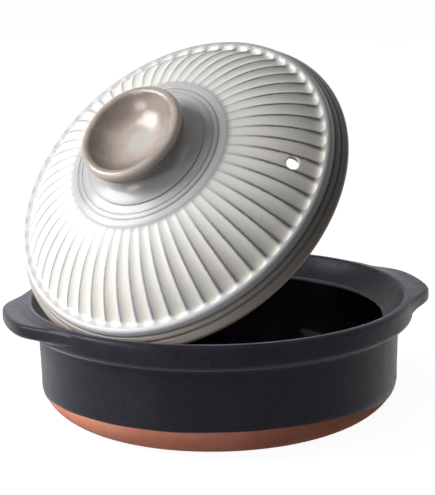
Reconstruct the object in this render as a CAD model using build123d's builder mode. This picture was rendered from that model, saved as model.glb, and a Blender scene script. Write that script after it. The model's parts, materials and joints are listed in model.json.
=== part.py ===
"""A donabe, the Japanese clay pot for the stove, with its fluted lid tilted open.

Lengths are millimetres and angles are degrees. The origin is the centre of the foot on the table,
+Z is up, and the two handles stand on the X axis. The lid's own sizes are given as radius and
height over its lower edge, along its own axis, and the lid stands where its rounded edge rests in
the gallery inside the rim, turned open about the tangent there.
"""

import os
from math import asin, cos, degrees, radians, sin, sqrt

from build123d import *

# Pot, outside: widths are counted inward from the rim
rim_radius = 127.5
rim_height = 79.0
rim_depth = 16.6
rim_overhang = 9.4
heel_round = 2.8
underside_flat = 0.2
wall_draft = 1.03
belly_height = 24.0
belly_width = 34.47
belly_fullness_share = 0.5075

# Pot, inside: lip, gallery and land follow one another inward from the rim
lip_width = 5.2
crest_round = 2.0
gallery_width = 10.8
gallery_depth = 14.0
gallery_hollow_radius = 38.0
land_width = 4.0
bead_round = 1.8
floor_thickness = 10.0
floor_round = 28.0

# Bare clay underside of the pot
glaze_line_height = 21.0
glaze_thickness = 0.4
base_thickness = 4.5

# Handles: the half angle is where their cut ends meet the rim
handle_length = 13.7
handle_half_angle = 24.06
handle_drop = 1.5
handle_root_thickness = 11.5
handle_tip_thickness = 8.5
handle_bury = 3.5
handle_corner_round = 8.0
handle_edge_round = 2.4

# Lid, lower edge and bands: each width is counted inward and each rise upward from the last
lid_seat_width = 3.7
lid_edge_round = 2.0
lid_edge_height = 3.3
lower_band_width = 2.7
lower_band_rise = 3.8
upper_band_width = 2.1
upper_band_rise = 3.7
groove_round = 0.6
margin_width = 1.0
margin_rise = 5.7
margin_top_width = 2.8
margin_round = 2.4
margin_slope_width = 2.9
margin_slope_drop = 1.4
margin_valley_round = 2.0

# Lid, dome and collar
dome_run = 49.2
dome_rise = 31.2
dome_arc_radius = 87.0
dome_wall = 7.0
collar_step_height = 0.6
collar_step_width = 0.8
collar_width = 14.2
collar_rise = 3.6
collar_groove_shares = (0.317, 0.577)
collar_groove_round = 0.45

# Lid, flutes and steam hole
flute_count = 56
flute_tool_radius = 12.0
flute_ridge_width = 0.9
flute_inner_inset = 2.7
flute_outer_inset = 4.9
first_ridge_angle = 1.14
flute_slice_share = 0.96
vent_flute = 1.5
vent_inset = 11.5
vent_radius = 4.2

# Lid, neck and knob
neck_foot_step = 0.9
neck_rise = 8.7
neck_flare_width = 14.3
neck_flare_radius = 17.0
knob_underside_width = 7.2
knob_underside_rise = 4.8
knob_lip_round = 1.2
knob_side_width = 1.2
knob_side_rise = 4.9
knob_side_round = 3.0
knob_shoulder_width = 3.2
knob_shoulder_rise = 3.0
knob_rim_width = 2.4
knob_rim_outer_round = 3.0
knob_rim_inner_round = 1.6
knob_dish_depth = 10.5

# Where the lid stands
lid_clearance = 0.4
lid_lean_angle = 217.6
lid_tilt = 46.6

# Pot radii and heights that follow
wall_top_radius = rim_radius - rim_overhang
belly_radius = wall_top_radius - wall_draft
foot_radius = belly_radius - belly_width
heel_height = rim_height - rim_depth
underside_round = rim_overhang - heel_round - underside_flat
crest_radius = rim_radius - lip_width
lip_round = lip_width - crest_round
gallery_foot_radius = crest_radius - gallery_width
mouth_radius = gallery_foot_radius - land_width
handle_reach = rim_radius + handle_length
handle_end_reach = rim_radius * (cos(radians(handle_half_angle)) + sin(radians(handle_half_angle)))
flute_angle = 360 / flute_count

# Lid corners that follow, as radius and height, from the lower edge up to the neck
lid_radius = gallery_foot_radius + lid_seat_width
lower_groove = (lid_radius - lower_band_width, lid_edge_height + lower_band_rise)
upper_groove = (lower_groove[0] - upper_band_width, lower_groove[1] + upper_band_rise)
margin_corner = (upper_groove[0] - margin_width, upper_groove[1] + margin_rise)
margin_inner_corner = (margin_corner[0] - margin_top_width, margin_corner[1])
dome_foot = (margin_inner_corner[0] - margin_slope_width, margin_inner_corner[1] - margin_slope_drop)
dome_crown = (dome_foot[0] - dome_run, dome_foot[1] + dome_rise)
collar_step_corner = (dome_crown[0] - collar_step_width, dome_crown[1] + collar_step_height)
collar_corner = (dome_crown[0] - collar_width, dome_crown[1] + collar_rise)
neck_foot_corner = (collar_corner[0], collar_corner[1] + neck_foot_step)
neck_top_corner = (neck_foot_corner[0] - neck_flare_width, neck_foot_corner[1] + neck_rise)

# Knob corners that follow, from the neck up to the rolled rim
knob_lip_corner = (neck_top_corner[0] + knob_underside_width, neck_top_corner[1] + knob_underside_rise)
knob_side_corner = (knob_lip_corner[0] + knob_side_width, knob_lip_corner[1] + knob_side_rise)
knob_rim_corner = (knob_side_corner[0] - knob_shoulder_width, knob_side_corner[1] + knob_shoulder_rise)
knob_inner_corner = (knob_rim_corner[0] - knob_rim_width, knob_rim_corner[1])
knob_dish_floor = (0, knob_rim_corner[1] - knob_dish_depth)


def corner(sketch, place):
    """The corner of a flat outline that stands at, or nearest to, a place."""
    return sketch.vertices().sort_by_distance(place)[0]


def arc_centre(start, end, radius):
    """The centre, on the left going from start to end, of the arc that joins two points."""
    chord = Vector(*end) - Vector(*start)
    middle = Vector(*start) + chord * 0.5
    reach = sqrt(radius**2 - (chord.length / 2) ** 2)
    return middle + Vector(-chord.Y, chord.X) * (reach / chord.length)


# The gallery is a hollow slope from the lip down to a narrow land round the mouth
gallery_top = (crest_radius, rim_height)
gallery_foot = (gallery_foot_radius, rim_height - gallery_depth)
gallery_centre = arc_centre(gallery_foot, gallery_top, gallery_hollow_radius)


def pot_section(set_back):
    """Half section of the whole pot, with its belly and foot standing back by a glaze's thickness."""
    foot_corner = (foot_radius - set_back, 0)
    belly_point = (belly_radius - set_back, belly_height)
    wall_top_corner = (wall_top_radius, heel_height)
    heel_corner = (rim_radius, heel_height)
    lip_corner = (rim_radius, rim_height)
    mouth_corner = (mouth_radius, rim_height - gallery_depth)
    floor_corner = (mouth_radius, floor_thickness)
    with BuildSketch() as section:
        with BuildLine():
            Line((0, 0), foot_corner)
            Bezier(
                foot_corner,
                (foot_corner[0] + belly_fullness_share * belly_width, 0),
                (belly_point[0], belly_height - belly_fullness_share * belly_height),
                belly_point,
            )
            Polyline(belly_point, wall_top_corner, heel_corner, lip_corner, gallery_top)
            RadiusArc(gallery_top, gallery_foot, gallery_hollow_radius)
            Polyline(gallery_foot, mouth_corner, floor_corner, (0, floor_thickness), (0, 0))
        make_face()
        fillet(corner(section, wall_top_corner), underside_round)
        fillet(corner(section, heel_corner), heel_round)
        fillet(corner(section, lip_corner), lip_round)
        fillet(corner(section, gallery_top), crest_round)
        fillet(corner(section, mouth_corner), bead_round)
        fillet(corner(section, floor_corner), floor_round)
    return section.sketch


def clay_zone():
    """The part of the half section that stays bare: the foot and the belly below the glaze line."""
    with BuildSketch() as zone:
        with BuildLine():
            Polyline(
                (0, 0),
                (rim_radius, 0),
                (rim_radius, glaze_line_height),
                (belly_radius - base_thickness, glaze_line_height),
                (foot_radius, base_thickness),
                (0, base_thickness),
                close=True,
            )
        make_face()
    return zone.sketch


# The glazed vessel: wall, flared rim, gallery and inside
with BuildPart() as pot_body:
    with BuildSketch(Plane.XZ):
        add(pot_section(0))
        add(clay_zone(), mode=Mode.SUBTRACT)
    revolve(axis=Axis.Z)

# The bare clay underside, which stands back from the glaze by the glaze's thickness
with BuildPart() as pot_base:
    with BuildSketch(Plane.XZ):
        add(pot_section(glaze_thickness))
        add(clay_zone(), mode=Mode.INTERSECT)
    revolve(axis=Axis.Z)


# A handle is a flat lug that tapers outward, with its ends cut at 45 degrees
handle_top = rim_height - handle_drop
handle_inner_radius = rim_radius - handle_bury
with BuildPart() as handle_right:
    with BuildSketch(Plane.XZ):
        with BuildLine():
            Polyline(
                (handle_inner_radius, handle_top),
                (handle_reach, handle_top),
                (handle_reach, handle_top - handle_tip_thickness),
                (handle_inner_radius, handle_top - handle_root_thickness),
                close=True,
            )
        make_face()
    revolve(axis=Axis.Z)
    with BuildSketch(Plane.XY) as handle_plan:
        Circle(handle_reach)
        with BuildLine():
            Polyline(
                (handle_end_reach, 0),
                (handle_end_reach / 2, handle_end_reach / 2),
                (handle_end_reach / 2, -handle_end_reach / 2),
                close=True,
            )
        make_face(mode=Mode.INTERSECT)
        handle_corners = handle_plan.vertices().filter_by_position(Axis.X, rim_radius, handle_reach)
        fillet(handle_corners, handle_corner_round)
    extrude(amount=rim_height, mode=Mode.INTERSECT)
    handle_edges = handle_right.edges().filter_by(Axis.Z, reverse=True)
    fillet(handle_edges.filter_by_position(Axis.X, rim_radius, handle_end_reach), handle_edge_round)
    add(pot_body.part, mode=Mode.SUBTRACT)

with BuildPart() as handle_left:
    mirror(handle_right.part, about=Plane.YZ)


# The closed lid stands where its rounded edge clears the gallery, and it opens about that edge
edge_circle_radius = lid_radius - lid_edge_round
edge_reach = gallery_hollow_radius - lid_edge_round - lid_clearance
edge_circle_height = gallery_centre.Y - sqrt(edge_reach**2 - (edge_circle_radius - gallery_centre.X) ** 2)
lean_direction = Vector(cos(radians(lid_lean_angle)), sin(radians(lid_lean_angle)), 0)
hinge_point = lean_direction * edge_circle_radius + Vector(0, 0, edge_circle_height)
hinge_direction = Vector(-lean_direction.Y, lean_direction.X, 0)
turn_open = Axis((0, 0, 0), hinge_direction)
closed_centre = Vector(0, 0, edge_circle_height - lid_edge_round)
lid_centre = hinge_point + (closed_centre - hinge_point).rotate(turn_open, lid_tilt)
lid_axis = Vector(0, 0, 1).rotate(turn_open, lid_tilt)
lid_plane = Plane(origin=lid_centre, x_dir=hinge_direction, z_dir=lid_axis)
lid_section_plane = Plane(origin=lid_centre, x_dir=hinge_direction, z_dir=-lid_plane.y_dir)
lid_turning_axis = Axis(lid_centre, lid_axis)

# The dome is one arc from the collar to the margin, and its inside is an arc about the same centre
dome_centre = arc_centre(dome_foot, dome_crown, dome_arc_radius)
inner_arc_radius = dome_arc_radius - dome_wall
ceiling_height = dome_centre.Y + inner_arc_radius
lid_inner_radius = dome_centre.X + sqrt(inner_arc_radius**2 - dome_centre.Y**2)


def dome_slope(radius):
    """How far the dome's outside has turned over at a radius, in degrees from level."""
    return degrees(asin((radius - dome_centre.X) / dome_arc_radius))


def over_dome(radius, height):
    """The point of the half section that stands a height over the dome, square to it."""
    turn = radians(dome_slope(radius))
    reach = dome_arc_radius + height
    return (dome_centre.X + reach * sin(turn), dome_centre.Y + reach * cos(turn))


def scoop_centre(radius):
    """Where the scoop's centre stands so that it cuts one flute and leaves the ridge at a radius."""
    flute_width = 2 * radius * sin(radians(flute_angle / 2)) - flute_ridge_width
    return over_dome(radius, sqrt(flute_tool_radius**2 - (flute_width / 2) ** 2))


# One scoop: a round tool led along the dome, ending round at the margin, kept to its own slice
flute_inner_radius = dome_crown[0] + flute_inner_inset
flute_outer_radius = dome_foot[0] - flute_outer_inset
with BuildPart() as scoop:
    with BuildLine(Plane.XZ) as scoop_path:
        ThreePointArc(
            scoop_centre(flute_inner_radius),
            scoop_centre((flute_inner_radius + flute_outer_radius) / 2),
            scoop_centre(flute_outer_radius),
        )
    scoop_start = Plane(origin=scoop_path.line @ 0, x_dir=(0, 1, 0), z_dir=-(scoop_path.line % 0))
    scoop_end = Plane(origin=scoop_path.line @ 1, x_dir=(0, 1, 0), z_dir=scoop_path.line % 1)
    with BuildSketch(scoop_start):
        Circle(flute_tool_radius)
    sweep(path=scoop_path.line)
    with Locations(scoop_start.location, scoop_end.location):
        Sphere(flute_tool_radius, arc_size1=0, align=(Align.CENTER, Align.CENTER, Align.MIN))
    with BuildSketch(Plane.XY):
        slice_half_width = rim_radius * sin(radians(flute_slice_share * flute_angle / 2))
        with BuildLine():
            Polyline((0, 0), (rim_radius, slice_half_width), (rim_radius, -slice_half_width), close=True)
        make_face()
    extrude(amount=rim_radius, mode=Mode.INTERSECT)

# The lid's shell: bands, margin, fluted dome, collar and neck, with the steam hole in one flute
with BuildPart(lid_plane) as lid_dome:
    with BuildSketch(lid_section_plane) as lid_section:
        edge_corner = (lid_radius, 0)
        edge_top_corner = (lid_radius, lid_edge_height)
        neck_top = neck_top_corner[1]
        with BuildLine():
            Polyline((lid_inner_radius, 0), edge_corner, edge_top_corner, lower_groove, upper_groove)
            Polyline(upper_groove, margin_corner, margin_inner_corner, dome_foot)
            RadiusArc(dome_foot, dome_crown, -dome_arc_radius)
            Polyline(dome_crown, collar_step_corner, collar_corner, neck_foot_corner)
            RadiusArc(neck_foot_corner, neck_top_corner, neck_flare_radius)
            Polyline(neck_top_corner, (0, neck_top), (0, ceiling_height), (dome_centre.X, ceiling_height))
            RadiusArc((dome_centre.X, ceiling_height), (lid_inner_radius, 0), inner_arc_radius)
        make_face()
        fillet(corner(lid_section, edge_corner), lid_edge_round)
        fillet(corner(lid_section, margin_corner), margin_round)
        fillet(corner(lid_section, dome_foot), margin_valley_round)
        with Locations(lower_groove, upper_groove):
            Circle(groove_round, mode=Mode.SUBTRACT)
        collar_line = Vector(*collar_corner) - Vector(*collar_step_corner)
        for share in collar_groove_shares:
            with Locations(Vector(*collar_step_corner) + collar_line * share):
                Circle(collar_groove_round, mode=Mode.SUBTRACT)
    revolve(axis=lid_turning_axis)
    with PolarLocations(0, flute_count, start_angle=first_ridge_angle + flute_angle / 2):
        add(scoop.part, mode=Mode.SUBTRACT)

    vent_angle = first_ridge_angle + vent_flute * flute_angle
    vent_place_radius = dome_foot[0] - vent_inset
    vent_place = over_dome(vent_place_radius, 0)
    with PolarLocations(0, 1, start_angle=vent_angle):
        with Locations(Location((vent_place[0], 0, vent_place[1]), (0, dome_slope(vent_place_radius), 0))):
            Cylinder(vent_radius, 2 * dome_wall, mode=Mode.SUBTRACT)

# The knob: a thick dish with a rolled rim, seated on the neck
with BuildPart(lid_plane) as lid_knob:
    with BuildSketch(lid_section_plane) as knob_section:
        neck_top = neck_top_corner[1]
        with BuildLine():
            Polyline((0, neck_top), neck_top_corner, knob_lip_corner, knob_side_corner, knob_rim_corner)
            Line(knob_rim_corner, knob_inner_corner)
            TangentArc(knob_dish_floor, knob_inner_corner, tangent=(1, 0))
            Line(knob_dish_floor, (0, neck_top))
        make_face()
        fillet(corner(knob_section, knob_lip_corner), knob_lip_round)
        fillet(corner(knob_section, knob_side_corner), knob_side_round)
        fillet(corner(knob_section, knob_rim_corner), knob_rim_outer_round)
        fillet(corner(knob_section, knob_inner_corner), knob_rim_inner_round)
    revolve(axis=lid_turning_axis)

pieces = {
    "pot_body": pot_body,
    "pot_base": pot_base,
    "handle_left": handle_left,
    "handle_right": handle_right,
    "lid_dome": lid_dome,
    "lid_knob": lid_knob,
}
os.makedirs("parts", exist_ok=True)
for name, piece in pieces.items():
    piece.part.label = name
    export_step(piece.part, f"parts/{name}.step")
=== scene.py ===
"""Looks for a donabe: a black glazed clay pot with its pale fluted lid tilted open.

Outlines are drawn as radius and height in millimetres, the lid's over its own lower edge, and every
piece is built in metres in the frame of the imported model: the foot's centre is the origin, +Z is up
and the two handles stand on the X axis.
"""

from __future__ import annotations

import json
import logging
import math
from dataclasses import dataclass, field
from enum import Enum

import bpy
import numpy as np
from mathutils import Matrix, Vector

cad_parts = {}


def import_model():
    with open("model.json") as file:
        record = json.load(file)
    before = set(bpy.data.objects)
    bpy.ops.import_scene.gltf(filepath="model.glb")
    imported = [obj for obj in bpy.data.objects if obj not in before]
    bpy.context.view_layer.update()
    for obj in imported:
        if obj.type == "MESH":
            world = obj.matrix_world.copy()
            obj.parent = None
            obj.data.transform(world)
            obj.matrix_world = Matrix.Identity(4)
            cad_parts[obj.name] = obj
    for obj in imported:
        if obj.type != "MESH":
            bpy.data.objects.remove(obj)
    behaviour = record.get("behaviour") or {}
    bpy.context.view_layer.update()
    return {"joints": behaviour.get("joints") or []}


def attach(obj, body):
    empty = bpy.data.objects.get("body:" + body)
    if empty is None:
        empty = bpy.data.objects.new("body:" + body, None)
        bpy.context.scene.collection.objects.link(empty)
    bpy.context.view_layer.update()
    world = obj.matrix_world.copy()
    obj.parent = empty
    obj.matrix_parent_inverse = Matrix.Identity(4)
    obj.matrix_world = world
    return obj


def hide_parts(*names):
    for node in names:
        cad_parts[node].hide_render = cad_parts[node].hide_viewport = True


Point = tuple[float, float]
Range = tuple[float, float]
Place = tuple[float, float, float]
Colour = tuple[float, float, float]
Row = tuple[str, float, Colour]
Piece = bpy.types.Object
Socket = bpy.types.NodeSocket
Material = bpy.types.Material

MILLIMETRE = 0.001
MERGE_GAP = MILLIMETRE / 200
SMOOTH_ANGLE = math.radians(38)

# The range that most of a cloudy pattern lies in.
CLOUD_RANGE = (0.3, 0.7)

log = logging.getLogger("donabe")


def arc_centre(start: Point, end: Point, radius: float) -> Vector:
    """Finds the centre of the arc that joins two points.

    Args:
        start: First point of the arc.
        end: Last point of the arc.
        radius: Radius, positive where the centre is on the left going from start to end.

    Returns:
        The centre as radius and height.
    """
    first = Vector(start)
    chord = Vector(end) - first
    reach = math.sqrt(radius**2 - (chord.length / 2) ** 2)
    across = Vector((-chord.y, chord.x)) / chord.length
    return first + chord / 2 + across * math.copysign(reach, radius)


def turn_between(first: Vector, last: Vector) -> float:
    """Returns the angle from one spoke to another, positive to the left."""
    return math.atan2(first.x * last.y - first.y * last.x, first.dot(last))


@dataclass
class Outline:
    """The half section of a turned piece, drawn in millimetres from one end to the other."""

    places: list[Point]
    marks: dict[str, float] = field(default_factory=dict)

    def length(self) -> float:
        """Returns the length drawn so far."""
        return float(self.lengths()[-1])

    def lengths(self) -> np.ndarray:
        """Returns the length along the outline at each of its points."""
        steps = np.linalg.norm(np.diff(np.array(self.places), axis=0), axis=1)
        return np.concatenate(([0.0], np.cumsum(steps)))

    def standing(self) -> list[Vector]:
        """Returns the outline's points in metres, standing over the X axis."""
        return [Vector((radius, 0, height)) * MILLIMETRE for radius, height in self.places]

    def mark(self, name: str) -> None:
        """Keeps the length drawn so far under a name."""
        self.marks[name] = self.length()

    def line(self, end: Point, spacing: float = 3.0) -> None:
        """Draws a straight line.

        Args:
            end: Where the line ends.
            spacing: Largest distance between its points.
        """
        start = Vector(self.places[-1])
        run = Vector(end) - start
        count = max(1, math.ceil(run.length / spacing))
        for step in range(1, count + 1):
            self.places.append(tuple(start + run * (step / count)))

    def arc(self, end: Point, radius: float, spacing: float = 1.5) -> None:
        """Draws an arc.

        Args:
            end: Where the arc ends.
            radius: Radius, positive where the centre is on the left of the way it is drawn.
            spacing: Largest distance between its points.
        """
        start = self.places[-1]
        centre = arc_centre(start, end, radius)
        first = Vector(start) - centre
        turn = turn_between(first, Vector(end) - centre)
        self.swing(centre, first, turn, max(2, math.ceil(abs(turn * radius) / spacing)))

    def swing(self, centre: Vector, first: Vector, turn: float, steps: int) -> None:
        """Adds points evenly round a centre.

        Args:
            centre: The centre.
            first: The spoke from the centre to the last point drawn.
            turn: Angle to go round, positive to the left.
            steps: Number of points.
        """
        for step in range(1, steps + 1):
            cosine = math.cos(turn * step / steps)
            sine = math.sin(turn * step / steps)
            spoke = Vector((first.x * cosine - first.y * sine, first.x * sine + first.y * cosine))
            self.places.append(tuple(centre + spoke))

    def turn_corner(self, corner: Point, toward: Point, radius: float, steps: int = 5) -> None:
        """Draws a straight line up to a corner and rounds the corner.

        Args:
            corner: The corner, which the rounding cuts off.
            toward: A place that the outline heads for after the corner.
            radius: Radius of the rounding.
            steps: Number of points on the rounding.
        """
        peak = Vector(corner)
        back = (Vector(self.places[-1]) - peak).normalized()
        ahead = (Vector(toward) - peak).normalized()
        half = back.angle(ahead) / 2
        reach = radius / math.tan(half)
        self.line(tuple(peak + back * reach))
        centre = peak + (back + ahead).normalized() * (radius / math.sin(half))
        first = peak + back * reach - centre
        turn = turn_between(first, peak + ahead * reach - centre)
        self.swing(centre, first, turn, steps)

    def groove(self, place: Point, toward: Point, width: float, depth: float) -> None:
        """Draws a straight line to a place and a fine groove there.

        Args:
            place: The middle of the groove.
            toward: A place that the outline heads for after the groove.
            width: Width of the groove.
            depth: How deep it goes, toward the right of the way it is drawn if negative.
        """
        middle = Vector(place)
        back = (Vector(self.places[-1]) - middle).normalized()
        ahead = (Vector(toward) - middle).normalized()
        along = (ahead - back).normalized()
        into = Vector((-along.y, along.x)) * depth
        self.line(tuple(middle + back * (width / 2)))
        self.places.append(tuple(middle + back * (width / 5) + into))
        self.places.append(tuple(middle + ahead * (width / 5) + into))
        self.places.append(tuple(middle + ahead * (width / 2)))


def clear_selection() -> None:
    """Deselects every object."""
    bpy.ops.object.select_all(action="DESELECT")


def select_alone(piece: Piece) -> None:
    """Selects one piece and makes it the active one."""
    clear_selection()
    piece.select_set(True)
    bpy.context.view_layer.objects.active = piece


def draw_chain(name: str, places: list[Vector]) -> Piece:
    """Draws a chain of edges, one extruded point after the other, and stays in edit mode.

    Args:
        name: Name of the new piece.
        places: The chain's points in metres.

    Returns:
        The new piece, in edit mode.
    """
    clear_selection()
    bpy.ops.mesh.primitive_plane_add(size=MILLIMETRE, location=places[0])
    bpy.ops.object.transform_apply()
    piece = bpy.context.object
    piece.name = name
    piece.data.name = name
    bpy.ops.object.mode_set(mode="EDIT")
    bpy.ops.mesh.select_all(action="SELECT")
    bpy.ops.mesh.merge(type="CENTER")
    for before, after in zip(places, places[1:]):
        bpy.ops.mesh.extrude_vertices_move(TRANSFORM_OT_translate={"value": after - before})
    return piece


def spin(steps: int, angle: float) -> None:
    """Spins the points in edit mode round the upright axis."""
    bpy.ops.mesh.select_all(action="SELECT")
    bpy.ops.mesh.spin(steps=steps, angle=angle, center=(0, 0, 0), axis=(0, 0, 1))


def merge_points() -> None:
    """Merges the doubled points in edit mode."""
    bpy.ops.mesh.select_all(action="SELECT")
    bpy.ops.mesh.remove_doubles(threshold=MERGE_GAP)


def close_mesh() -> None:
    """Merges doubled points, turns all faces outward and leaves edit mode."""
    merge_points()
    bpy.ops.mesh.normals_make_consistent(inside=False)
    bpy.ops.object.mode_set(mode="OBJECT")


def turned(name: str, outline: Outline, steps: int) -> Piece:
    """Turns an outline about the upright axis, as a potter does on the wheel.

    Args:
        name: Name of the new piece.
        outline: The half section, from axis to axis.
        steps: Number of steps round the piece.

    Returns:
        The new piece.
    """
    piece = draw_chain(name, outline.standing())
    spin(steps, 2 * math.pi)
    close_mesh()
    return piece


def read_points(piece: Piece) -> np.ndarray:
    """Returns the piece's points in millimetres, one row each."""
    points = np.empty(len(piece.data.vertices) * 3)
    piece.data.vertices.foreach_get("co", points)
    return points.reshape(-1, 3) / MILLIMETRE


def write_points(piece: Piece, points: np.ndarray) -> None:
    """Puts the piece's points where the rows say, in millimetres."""
    piece.data.vertices.foreach_set("co", (points * MILLIMETRE).ravel())
    piece.data.update()


def polar(points: np.ndarray) -> tuple[np.ndarray, np.ndarray]:
    """Returns how far each point is from the upright axis, and in which direction."""
    return np.hypot(points[:, 0], points[:, 1]), np.arctan2(points[:, 1], points[:, 0])


def write_map(piece: Piece, name: str, across: np.ndarray, along: np.ndarray) -> None:
    """Keeps two measures of each point as a UV map.

    Args:
        piece: The piece to measure.
        name: Name of the map.
        across: First measure of each point.
        along: Second measure of each point.
    """
    corners = np.empty(len(piece.data.loops), dtype=np.int32)
    piece.data.loops.foreach_get("vertex_index", corners)
    values = np.column_stack((across[corners], along[corners]))
    layer = piece.data.uv_layers.new(name=name)
    layer.data.foreach_set("uv", values.ravel())


def nearest_on(outline: Outline, points: np.ndarray, block: int = 20000) -> np.ndarray:
    """Finds where each point of a turned piece lies on the outline.

    Args:
        outline: The outline that the piece was turned from.
        points: The piece's points.
        block: How many points are looked up at once.

    Returns:
        The number of the nearest place on the outline for each point.
    """
    flat = np.column_stack((polar(points)[0], points[:, 2]))
    places = np.array(outline.places)
    numbers = np.empty(len(flat), dtype=np.int64)
    for start in range(0, len(flat), block):
        gaps = flat[start : start + block, None, :] - places[None, :, :]
        numbers[start : start + block] = np.argmin((gaps**2).sum(axis=2), axis=1)
    return numbers


def smooth_step(value: np.ndarray, low: float, high: float) -> np.ndarray:
    """Rises smoothly from 0 at low to 1 at high."""
    share = np.clip((value - low) / (high - low), 0, 1)
    return share * share * (3 - 2 * share)


def hand_in(piece: Piece, body: str, node: str, slot: str, *finishes: Material) -> None:
    """Dresses and smooths a finished piece and gives it its place in the frame.

    Args:
        piece: The finished piece.
        body: The body that it rides on.
        node: The CAD node that it stands for.
        slot: The material slot that its finish comes from. Not used.
        *finishes: Its materials.
    """
    for finish in finishes:
        piece.data.materials.append(finish)
    select_alone(piece)
    bpy.ops.object.shade_smooth_by_angle(angle=SMOOTH_ANGLE)
    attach(piece, body)
    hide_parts(node)
    size = (Vector(piece.bound_box[6]) - Vector(piece.bound_box[0])) / MILLIMETRE
    log.info("%s: %d faces, %.0f x %.0f x %.0f mm", piece.name, len(piece.data.polygons), *size)


@dataclass(frozen=True)
class Clouds:
    """A cloudy pattern: clouds per metre, how many finer clouds it has and how strong these are."""

    scale: float
    detail: float = 3.0
    roughness: float = 0.55


class Recipe:
    """The nodes of one material or world, linked as they are added."""

    def __init__(self, owner: Material | bpy.types.World) -> None:
        """Starts with no nodes.

        Args:
            owner: The material or world that the nodes belong to.
        """
        owner.use_nodes = True
        self.owner = owner
        self.tree = owner.node_tree
        self.tree.nodes.clear()

    def add(self, kind: str, inputs: dict, **settings: str) -> bpy.types.Node:
        """Adds a node.

        Args:
            kind: Kind of node.
            inputs: A socket, number or colour for each input, by the input's name or number.
            **settings: The node's own settings.

        Returns:
            The node.
        """
        node = self.tree.nodes.new(kind)
        for name, value in settings.items():
            setattr(node, name, value)
        for name, value in inputs.items():
            if isinstance(value, Socket):
                self.tree.links.new(value, node.inputs[name])
            elif isinstance(value, tuple):
                node.inputs[name].default_value = (*value, 1.0)
            else:
                node.inputs[name].default_value = value
        return node

    def shade(self, inputs: dict) -> Material:
        """Returns the material, finished with a shader that has the given inputs."""
        shader = self.add("ShaderNodeBsdfPrincipled", inputs)
        self.add("ShaderNodeOutputMaterial", {"Surface": shader.outputs["BSDF"]})
        return self.owner

    def on_object(self) -> Socket:
        """Returns the object's own coordinates."""
        return self.add("ShaderNodeTexCoord", {}).outputs["Object"]

    def split(self, vector: Socket) -> tuple[Socket, Socket]:
        """Returns the first two measures of a vector."""
        parts = self.add("ShaderNodeSeparateXYZ", {"Vector": vector})
        return parts.outputs["X"], parts.outputs["Y"]

    def on_map(self, name: str) -> tuple[Socket, Socket]:
        """Returns the two measures kept in a UV map."""
        return self.split(self.add("ShaderNodeUVMap", {}, uv_map=name).outputs["UV"])

    def noise(self, where: Socket, clouds: Clouds) -> Socket:
        """Returns a cloudy pattern on the given coordinates, about one half on average."""
        inputs = {"Scale": clouds.scale, "Detail": clouds.detail, "Roughness": clouds.roughness}
        return self.add("ShaderNodeTexNoise", {"Vector": where, **inputs}).outputs["Fac"]

    def specks(self, where: Socket, scale: float) -> Socket:
        """Returns the distance from the middle of the nearest of many specks."""
        return self.add("ShaderNodeTexVoronoi", {"Vector": where, "Scale": scale}).outputs["Distance"]

    def spread(self, value: Socket, source: Range, result: Range = (0.0, 1.0)) -> Socket:
        """Returns a value eased from the source range into the result range."""
        ranges = dict(zip(("From Min", "From Max", "To Min", "To Max"), (*source, *result)))
        inputs = {"Value": value, **ranges}
        return self.add("ShaderNodeMapRange", inputs, interpolation_type="SMOOTHSTEP").outputs["Result"]

    def sum(self, kind: str, first: object, second: object) -> Socket:
        """Returns the sum, product or other kind of result of two values or sockets."""
        return self.add("ShaderNodeMath", {0: first, 1: second}, operation=kind).outputs[0]

    def blend(self, share: object, first: object, second: object) -> Socket:
        """Returns a blend of two colours, where the share says how much of the second shows."""
        return self.add("ShaderNodeMix", {0: share, 6: first, 7: second}, data_type="RGBA").outputs[2]

    def bands(self, along: Socket, outline: Outline, rows: list[Row]) -> Socket:
        """Colours a piece band by band along its outline.

        Args:
            along: Length along the outline, in millimetres.
            outline: The outline with its marks.
            rows: A mark, the length past it and the colour there, in order.

        Returns:
            The colour.
        """
        length = outline.length()
        node = self.add("ShaderNodeValToRGB", {"Fac": self.sum("DIVIDE", along, length)})
        elements = node.color_ramp.elements
        while len(elements) < len(rows):
            elements.new(1.0)
        for element, (mark, past, colour) in zip(elements, rows):
            element.position = (outline.marks[mark] + past) / length
            element.color = (*colour, 1.0)
        return node.outputs["Color"]

    def bump(self, height: Socket, depth: float, strength: float = 0.4) -> Socket:
        """Returns the surface's direction with relief of a depth in millimetres."""
        inputs = {"Height": height, "Distance": depth * MILLIMETRE, "Strength": strength}
        return self.add("ShaderNodeBump", inputs).outputs["Normal"]

    def seen(self) -> Socket:
        """Returns 1 where a ray comes from the camera, a reflection or through glass, else 0."""
        path = self.add("ShaderNodeLightPath", {}).outputs
        straight = self.sum("MAXIMUM", path["Is Camera Ray"], path["Is Glossy Ray"])
        return self.sum("MAXIMUM", straight, path["Is Transmission Ray"])


class Firing(Enum):
    """How the black glaze came out of the kiln."""

    SATIN = "black_glaze_satin"
    GLOSS = "black_glaze_gloss"


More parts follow.
